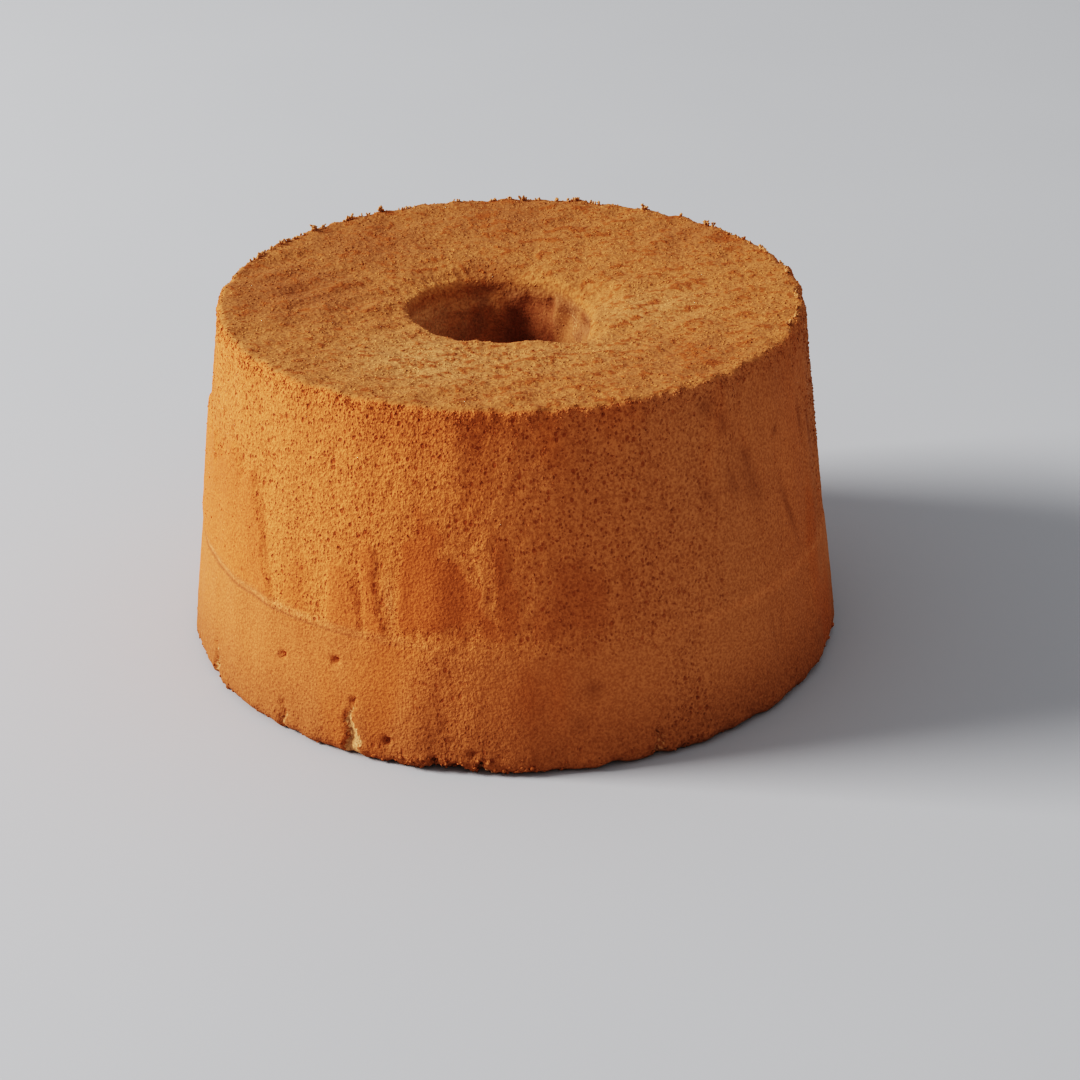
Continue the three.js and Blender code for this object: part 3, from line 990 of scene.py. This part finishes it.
# Lighter raised crumb and darker hollows: partly paler crumb, partly painted shade
RELIEF_LIGHT_AND_SHADE = ((0.82, 0.79, 0.76), (1.13, 1.15, 1.18))

# Fine structure in millimetres; a warp is the size and amount of its noise and its stretch
WEBS = {"size": 1.0, "detail": 3, "roughness": 0.6}
SPECKLES = {"size": 0.75}
FUZZ = {"size": 1.0, "detail": 3, "roughness": 0.55}
CLUMPS = {"size": 2.6, "roughness": 0.55}
UPRIGHT_WARP = (2.2, 0.45, (1, 1, 0.72))
MOUND_WARP = (1.6, 0.5)
MOUND_SPACING = 1.6
CRUMB_ROUGHNESS = 0.92

# Pores: spacing, radii in spacings, and for fine ones the shift of their pattern and strength
LARGE_PORES = (5.4, (0.02, 0.14))
LARGE_WARP = (4, 0.9)
FINE_PORES = (
    (2.2, (0.02, 0.35), (0.3, 0.7, 0.2), 0.85),
    (1.0, (0.12, 0.45), (0.5, 0.1, 0.9), 0.7),
)

# Where colours begin and end on a mask or on noise, and their shares there
SEAM_BREAKS = {"size": 5}
BLOTCHES = {"size": 7}
RUST_CLUMPS = (0.35, 0.65)
RAMP = Values(
    patch=(0.15, 1.0, 0, 0.45), seam=(0.35, 0.65, 0.5, 0.9), gap=(0.0, 0.5, 0.12, 0.0),
    blotch=(0.42, 0.6, 0.0, 0.8), scorch=(0.35, 0.6, 0.75, 1.0), torn=(0.3, 0.8),
)

# How far the fine structure swings the crumb's light and colours; its light and dark follow its relief,
# partly paler crumb and partly painted shade
SWING = Values(webs=0.5, speckles=0.5, fuzz=0.6, rust=0.3, torn=0.25)
# Stronger light and dark of the webs on the duller side: painted shade in its hollows
DULL_AND_SHADED_WEBS = (1.0, 1.25)
TOP_SPECKLES = (1.0, 0.5)
MIDDLE_LIGHT = 0.5

# Height of the fine structure in millimetres; speckles are lower on the top and in the bore
RISE = Values(webs=0.6, pores=-0.3, speckles=(0.36, 0.15), mounds=(0.04, 0.18), fuzz=0.24, clumps=0.45)


def crumb_texture(s):
    """The crumb's fine structure, and where it is the top's or the side's."""
    top = s.mask("top")
    open_side = s.times(s.mask("pore"), s.ramp(top, 0, 1, 1.0, 0.0))
    upright = s.warped(*UPRIGHT_WARP)
    mounds, chance = s.grains(s.warped(*MOUND_WARP), MOUND_SPACING)
    pores = s.pores(s.warped(*LARGE_WARP), *LARGE_PORES)
    for spacing, radii, shift, strength in FINE_PORES:
        finer = s.pores(s.vectors("ADD", upright, shift), spacing, radii)
        pores = s.maths("MAXIMUM", s.times(finer, strength), pores)
    return Values(
        top=top, open_side=open_side, mounds=mounds, chance=chance,
        pores=s.times(pores, open_side),
        webs=s.noise(place=upright, **WEBS),
        speckles=s.noise(**SPECKLES),
        fuzz=s.noise(**FUZZ),
        clumps=s.noise(**CLUMPS),
    )


def side_colour(s):
    """Crumb, skin and band, with duller places and a darker foot that are partly painted shade, redder
    places with painted shadow lines, and painted highlights at the seam and marks.
    """
    colour = s.mix(s.mask("skin"), CRUMB, SKIN)
    # The band, then the duller side and the darker foot, which are partly painted shade
    for mask, tone in (("band", BAND), ("dull", DULL_AND_SHADED_TONE), ("low", FOOT_BROWN_AND_SHADE)):
        colour = s.mix(s.mask(mask), colour, tone)
    colour = s.mix(s.ramp(s.mask("patch"), *RAMP.patch), colour, PATCH_RED)
    # Redder skin and marks, and painted shadow lines along ridge edges
    colour = s.shaded(s.mask("red"), colour, RED_AND_PAINTED_SHADOW)
    # Painted highlight on the seam and the pale marks
    broken = s.ramp(s.noise(**SEAM_BREAKS), *RAMP.seam)
    return s.mix(s.times(s.mask("seam"), broken), colour, PAINTED_HIGHLIGHT)


def top_colour(s, t):
    """Golden crumb with paler and browner places, rusty flecks, painted shade in the gaps and painted
    light on loose crumb.
    """
    by_mound = s.swing(t.chance, SWING.rust, 0.0, 1.0)
    by_clump = s.swing(t.clumps, SWING.rust, *RUST_CLUMPS)
    rust = s.plus(s.mask("fleck"), s.plus(by_mound, by_clump))
    colour = s.mix(s.mask("pale"), s.mix(s.mask("brown"), TOP_GOLD, TOP_BROWN), TOP_PALE)
    colour = s.mix(s.ramp(rust, 0.0, 1.0), colour, TOP_RUST)
    # Painted shade in the gaps between the grains
    colour = s.shaded(s.ramp(t.mounds, *RAMP.gap), colour, GAP_PAINTED_SHADE)
    # Painted light on loose crumbs
    return s.shaded(s.mask("loose"), colour, PAINTED_LIGHT_GLOW)


def bore_colour(s):
    """Brown wall with darker blotches and painted light on its shaded back left."""
    colour = s.mix(s.ramp(s.noise(**BLOTCHES), *RAMP.blotch), BORE_BROWN, BORE_DARK)
    return s.mix(s.mask("inner_pale"), colour, BORE_PAINTED_LIGHT)


def crumb_light(s, t):
    """How light the fine structure is, about 0 to 1: lighter where it stands up, darker in its hollows;
    partly paler crumb, partly painted shade.
    """
    web_share = s.ramp(s.mask("dull"), 0.0, 1.0, *DULL_AND_SHADED_WEBS)
    webs = s.times(s.swing(t.webs, SWING.webs), web_share)
    speckle_share = s.ramp(t.top, 0.0, 1.0, *TOP_SPECKLES)
    speckles = s.times(s.swing(t.speckles, SWING.speckles), speckle_share)
    fuzz = s.times(s.swing(t.fuzz, SWING.fuzz), t.top)
    rest = s.plus(speckles, s.plus(fuzz, MIDDLE_LIGHT))
    return s.plus(s.times(webs, t.open_side), rest)


def crumb_height(s, t):
    """How high the fine structure is, in millimetres."""
    height = s.times(s.times(t.webs, t.open_side), RISE.webs)
    height = s.plus(height, s.times(t.pores, RISE.pores))
    speckle_rise = s.ramp(s.maths("MAXIMUM", t.top, s.mask("bore")), 0.0, 1.0, *RISE.speckles)
    height = s.plus(height, s.times(t.speckles, speckle_rise))
    carpet = s.times(t.mounds, s.ramp(t.chance, 0.0, 1.0, *RISE.mounds))
    carpet = s.plus(carpet, s.times(t.fuzz, RISE.fuzz))
    carpet = s.plus(carpet, s.times(t.clumps, RISE.clumps))
    return s.plus(height, s.times(carpet, t.top))


def cake_material():
    """Porous crumb with skin, a crumbly top, scorched and pale torn places, and painted light and shade.
    """
    s = Shader("baked_crumb_cake", CRUMB_ROUGHNESS)
    t = crumb_texture(s)
    colour = s.mix(t.top, side_colour(s), top_colour(s, t))
    colour = s.mix(s.mask("bore"), colour, bore_colour(s))
    # Scorched crust, with painted shade in grooves and hollows
    scorched = s.times(s.mask("scorch"), s.ramp(t.webs, *RAMP.scorch))
    colour = s.mix(scorched, colour, SCORCH_AND_SHADE)
    ragged = s.plus(s.mask("torn"), s.swing(t.speckles, SWING.torn))
    colour = s.mix(s.ramp(ragged, *RAMP.torn), colour, TORN_PALE)
    # Lighter raised crumb and darker hollows: partly paler crumb, partly painted shade
    light = s.mix(crumb_light(s, t), *RELIEF_LIGHT_AND_SHADE)
    colour = s.mix(1.0, colour, light, "MULTIPLY")
    # Painted shade in the pores
    colour = s.shaded(t.pores, colour, s.mix(s.mask("dull"), PORE_PAINTED_SHADE, PORE_DEEP_PAINTED_SHADE))
    return s.finish(colour, crumb_height(s, t))


def as_part(piece, material):
    """Gives a piece its material and lets it move with the cake."""
    piece.data.materials.append(material)
    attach(piece, BODY)


def map_of_grid(g):
    """Each corner of the quads on a map: round the cake and along its outline."""
    rows, columns = len(g.r), COLUMNS
    length = np.hypot(np.roll(g.r, -1, 0) - g.r, np.roll(g.z, -1, 0) - g.z)[:, 0]
    v = np.concatenate([[0], np.cumsum(length)]) / length.sum()
    row, column = np.meshgrid(np.arange(rows), np.arange(columns), indexing="ij")
    corners = ((0, 0), (0, 1), (1, 1), (1, 0))
    return np.stack([np.stack([(column + c) / columns, v[row + r]], -1) for r, c in corners], 2)


def add_map(piece, spots):
    piece.data.uv_layers.new(name="OFBake").data.foreach_set("uv", spots.astype(np.float32).ravel())


def cake_body(cake, material):
    """The cake itself, one closed piece."""
    rows, columns = cake.area.shape
    piece = new_mesh("cake_body", cake.points.reshape(-1, 3), grid_faces(rows, columns))
    for name, values in cake.masks.items():
        add_mask(piece, name, values)
    add_map(piece, map_of_grid(cake.grid))
    as_part(piece, material)
    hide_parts(NODE)


# Loose crumbs: how uneven, stretched and flat they are, and how much their shades vary
CRUMB_UNEVEN = (0.65, 1.35)
CRUMB_STRETCH = (0.6, 1.4)
FLAKE_FLATNESS = 0.35
CRUMB_SHADES = {"patch": 0.3, "fleck": 0.25}
MAP_SHARE = 0.44
PLACE_SEED = 201
SHAPE_SEED = 211


def flakes(count, sizes, lift, split=False, **masks):
    """A kind of loose crumb: its radii, how far it stands up, and masks that aren't its place's."""
    return Values(
        count=count, sizes=sizes, lift=lift, split=split, masks=masks,
        flatness=FLAKE_FLATNESS, seed=SHAPE_SEED + count,
    )


LOOSE_CRUMBS = {
    # The top crumbs are given painted light
    "top_crumbs": flakes(24000, (0.22, 0.46), (-0.3, 0.0), loose=1.0),
    "side_crumbs": flakes(8000, (0.18, 0.38), (-0.12, 0.06)),
    "fray_crumbs": flakes(2600, (0.2, 0.42), (-0.15, 0.25)),
    "foot_crumbs": flakes(800, (0.25, 0.75), (-0.3, 0.15), split=True),
    "rim_crumbs": flakes(4200, (0.15, 0.36), (-0.15, 0.1), split=True),
}

# Where loose crumbs lie: in clumps on the top, near the rim and foot, and on the frayed side
TOP_CLUMPS = grain(2.8, 161)
CLUMP_CUT = (-0.4, 0.4)
CLUMP_LEAST = 0.35
SIDE_CRUMB_LEAST = 0.3
SIDE_CRUMB_REACH = 12
FRAYED_SIDE = ((-4, 22), (60, 25), (118, 20), (172, 8))
FRAYED_HEIGHTS = (55, 90)
FOOT_CRUMB_LEAST = 0.1
FOOT_CRUMB_REACH = 6
RIM_CRUMB_REACH = 8
RIM_TOP_LOSS = 0.9

# Tufts on the rim: full ones at some angles, and smaller ones between two angles
TUFT_ANGLES = (156, 137, 128, 119, 87, 59, 43, -19)
TUFT_COUNT = 75
SMALL_ANGLES = (-20, 160)
SMALL_SHARES = (0.15, 0.5)
TUFT_STRANDS = (5, 9)
STRAND_CRUMBS = (3, 7)
TUFT_SHORTEST = 0.5
TUFT_STEP = 0.32
TUFT_JITTER = 0.08
TUFT_SPREAD = (0.7, 0.35)
TUFT_LEAN = (0.45, 0.3)
# Tufts are lightened by the torn mask, paler torn crumb, and by painted light
TUFT_CRUMBS = Values(
    sizes=(0.3, 0.55), split=False, flatness=0, seed=215,
    masks={"torn": 0.6, "brown": 0.0, "fleck": 0.1, "loose": 1.0},
)


def ball(split):
    """An octahedron, split or not: points, faces and each corner's place on a map."""
    numbers = {}
    faces, corners = [], []

    def unfolded(p, signs):
        if signs[2] > 0:
            return p[0], p[1]
        return (1 - abs(p[1])) * signs[0], (1 - abs(p[0])) * signs[1]

    for signs in itertools.product((1, -1), repeat=3):
        x, y, z = np.diag(signs).astype(float)
        if np.prod(signs) < 0:
            x, y = y, x
        xy, yz, zx = (x + y) / 2, (y + z) / 2, (z + x) / 2
        quarters = ((x, xy, zx), (y, yz, xy), (z, zx, yz), (xy, yz, zx))
        for face in quarters if split else ((x, y, z),):
            faces.append([numbers.setdefault(tuple(p), len(numbers)) for p in face])
            corners.append([unfolded(p, signs) for p in face])
    points = np.array(list(numbers))
    return points / np.linalg.norm(points, axis=1)[:, None], np.array(faces), np.array(corners)


def turns(rng, count):
    """Random turns, as matrices."""
    q = rng.normal(size=(count, 4))
    w, x, y, z = (q / np.linalg.norm(q, axis=1)[:, None]).T
    rows = (
        (1 - 2 * (y * y + z * z), 2 * (x * y - z * w), 2 * (x * z + y * w)),
        (2 * (x * y + z * w), 1 - 2 * (x * x + z * z), 2 * (y * z - x * w)),
        (2 * (x * z - y * w), 2 * (y * z + x * w), 1 - 2 * (x * x + y * y)),
    )
    return np.moveaxis(np.array(rows), -1, 0)


def crumbs(name, kind, cake, places, picked, material):
    """Uneven crumbs as one piece, each coloured like its place, with its cell of the map."""
    rng = np.random.default_rng(kind.seed)
    points, faces, corners = ball(kind.split)
    count = len(places)
    shape = points * rng.uniform(*CRUMB_UNEVEN, (count, len(points), 1))
    shape *= rng.uniform(*CRUMB_STRETCH, (count, 1, 3))
    radii = rng.uniform(*kind.sizes, (count, 1, 1))
    shape = np.einsum("nij,npj->npi", turns(rng, count), shape) * radii
    out = cake.normal.reshape(-1, 3)[picked][:, None]
    shape = shape - kind.flatness * (shape * out).sum(-1, keepdims=True) * out + places[:, None]
    shape[..., 2] = np.maximum(shape[..., 2], 0)
    all_faces = faces[None] + (np.arange(count) * len(points))[:, None, None]
    piece = new_mesh(name, shape.reshape(-1, 3), all_faces.reshape(-1, 3))
    for mask, values in cake.masks.items():
        shade = CRUMB_SHADES.get(mask, 0) * rng.normal(0, 1, count)
        own = kind.masks.get(mask, values.ravel()[picked]) + shade
        add_mask(piece, mask, np.repeat(own, len(points)))
    cells = math.ceil(math.sqrt(count))
    cell = np.stack([np.arange(count) % cells, np.arange(count) // cells], -1)
    add_map(piece, (cell[:, None, None] + 0.5 + MAP_SHARE * corners[None]) / cells)
    as_part(piece, material)


def scattered(cake, weight, kind, rng):
    """Places on the cake drawn by area and weight, and the grid points next to them."""
    share = (cake.area * weight).ravel()
    picked = rng.choice(share.size, kind.count, replace=True, p=share / share.sum())
    nudge = rng.uniform(0, 1, (2, kind.count, 1))
    along, across, normal, points = (
        v.reshape(-1, 3)[picked] for v in (cake.along, cake.across, cake.normal, cake.points)
    )
    lift = rng.uniform(*kind.lift, (kind.count, 1))
    return points + nudge[0] * along + nudge[1] * across + normal * lift, picked


def rim_tufts(cake, rng):
    """Places of the crumbs in the rim's tufts, and the grid points under them."""
    g = cake.grid
    rim_row = int(np.argmax(g.zone["top"][:, 0]))
    angles = [*TUFT_ANGLES, *rng.uniform(*SMALL_ANGLES, TUFT_COUNT - len(TUFT_ANGLES))]
    places, picked = [], []
    for index, angle in enumerate(angles):
        column = int(np.argmin(np.abs(turn_between(angle, g.degrees[0]))))
        along = cake.along[rim_row, column] / np.linalg.norm(cake.along[rim_row, column])
        out = cake.normal[rim_row, column]
        inward = np.cross(along, out)
        full = 1.0 if index < len(TUFT_ANGLES) else rng.uniform(*SMALL_SHARES)
        for _ in range(round(rng.integers(*TUFT_STRANDS) * full)):
            spread, lean = rng.normal(0, 1, (2, 2)) * (TUFT_SPREAD, TUFT_LEAN)
            at = cake.points[rim_row, column] + along * spread[0] + inward * spread[1]
            heading = out + along * lean[0] + inward * lean[1]
            for step in range(round(rng.integers(*STRAND_CRUMBS) * lerp(TUFT_SHORTEST, 1, full))):
                places.append(at + heading * (TUFT_STEP * step) + rng.normal(0, TUFT_JITTER, 3))
                picked.append(rim_row * COLUMNS + column)
    return np.array(places), np.array(picked)


def crumb_weights(cake):
    """How likely each kind of loose crumb is at each point."""
    g, masks = cake.grid, cake.masks
    clumped = lerp(CLUMP_LEAST, 1, smoothstep(lumps(g.points, TOP_CLUMPS), *CLUMP_CUT))
    side = masks["pore"] * (1 - masks["top"]) * (SIDE_CRUMB_LEAST + fade(g.from_rim, SIDE_CRUMB_REACH))
    foot = (g.zone["foot"] + g.zone["side"]) * fade(g.z, FOOT_CRUMB_REACH)
    foot = foot * (FOOT_CRUMB_LEAST + stretches(g, RAGGED_FOOT))
    rim = fade(g.from_rim, RIM_CRUMB_REACH) * (1 - RIM_TOP_LOSS * masks["top"])
    return {
        "top_crumbs": g.above * clumped,
        "side_crumbs": side * (g.z > SEAM_HEIGHT),
        "fray_crumbs": stretches(g, FRAYED_SIDE) * smoothstep(g.z, *FRAYED_HEIGHTS) * g.zone["side"],
        "foot_crumbs": foot * (1 - masks["torn"]),
        "rim_crumbs": rim * (1 - g.bore),
    }


def loose_crumbs(cake, material):
    """The loose crumbs, one piece for each kind, and the tufts on the rim."""
    rng = np.random.default_rng(PLACE_SEED)
    weights = crumb_weights(cake)
    for name, kind in LOOSE_CRUMBS.items():
        places, picked = scattered(cake, weights[name], kind, rng)
        crumbs(name, kind, cake, places, picked, material)
    places, picked = rim_tufts(cake, rng)
    crumbs("tuft_crumbs", TUFT_CRUMBS, cake, places, picked, material)


def camera():
    """The camera of the front view."""
    pitch, yaw, roll = (math.radians(a) for a in (CAMERA_PITCH, CAMERA_YAW, CAMERA_ROLL))
    level = Matrix.Rotation(-yaw, 4, "Z") @ Matrix.Rotation(math.pi / 2 - pitch, 4, "X")
    data = bpy.data.cameras.new("camera")
    data.sensor_width = CAMERA_SENSOR
    data.lens = CAMERA_LENS
    made = bpy.data.objects.new("camera", data)
    made.matrix_world = Matrix.Translation(CAMERA_PLACE) @ level @ Matrix.Rotation(roll, 4, "Z")
    bpy.context.scene.collection.objects.link(made)
    bpy.context.scene.camera = made


# The key light stands to the left; the room is pale and dim
KEY_AZIMUTH = 180
KEY_ELEVATION = 30
KEY_DISTANCE = 3
KEY_SIZE = 1.0
KEY_POWER = 132
ROOM_LIGHT = 0.46
ROOM_COLOUR = (0.95, 0.98, 1.03, 1)
FLOOR_HALF = 6
FLOOR_ROUGHNESS = 0.9
FLOOR_CLOUDS = {"size": 180}
FLOOR_SHADES = ((0.4, 0.4, 0.405), (0.42, 0.42, 0.425))
FLOOR_RISE = 0.01


def floor_material():
    """Pale matt card with the faintest unevenness."""
    s = Shader("pale_floor", FLOOR_ROUGHNESS)
    cloud = s.noise(**FLOOR_CLOUDS)
    return s.finish(s.mix(cloud, *FLOOR_SHADES), s.times(cloud, FLOOR_RISE))


def studio():
    """A plain pale floor, a soft light from the left and a pale room."""
    corners = np.array([(-1, -1, 0), (1, -1, 0), (1, 1, 0), (-1, 1, 0)]) * FLOOR_HALF / MM
    floor = new_mesh("floor", corners, np.array([[0, 1, 2, 3]]))
    floor.data.materials.append(floor_material())
    lamp = bpy.data.lights.new("key", "AREA")
    lamp.size = KEY_SIZE
    lamp.energy = KEY_POWER
    key = bpy.data.objects.new("key", lamp)
    azimuth, elevation = math.radians(KEY_AZIMUTH), math.radians(KEY_ELEVATION)
    level = math.cos(elevation)
    towards = Vector((math.cos(azimuth) * level, math.sin(azimuth) * level, math.sin(elevation)))
    key.location = towards * KEY_DISTANCE + Vector((0, 0, HEIGHT * MM / 2))
    key.rotation_euler = towards.to_track_quat("Z", "Y").to_euler()
    bpy.context.scene.collection.objects.link(key)
    world = bpy.data.worlds.new("room")
    world.use_nodes = True
    sky = world.node_tree.nodes["Background"]
    sky.inputs["Color"].default_value = ROOM_COLOUR
    sky.inputs["Strength"].default_value = ROOM_LIGHT
    bpy.context.scene.world = world
    bpy.context.scene.view_settings.view_transform = "Filmic"
    bpy.context.scene.view_settings.look = "Very High Contrast"


camera()
studio()
cake = cake_surface()
crumb = cake_material()
cake_body(cake, crumb)
loose_crumbs(cake, crumb)
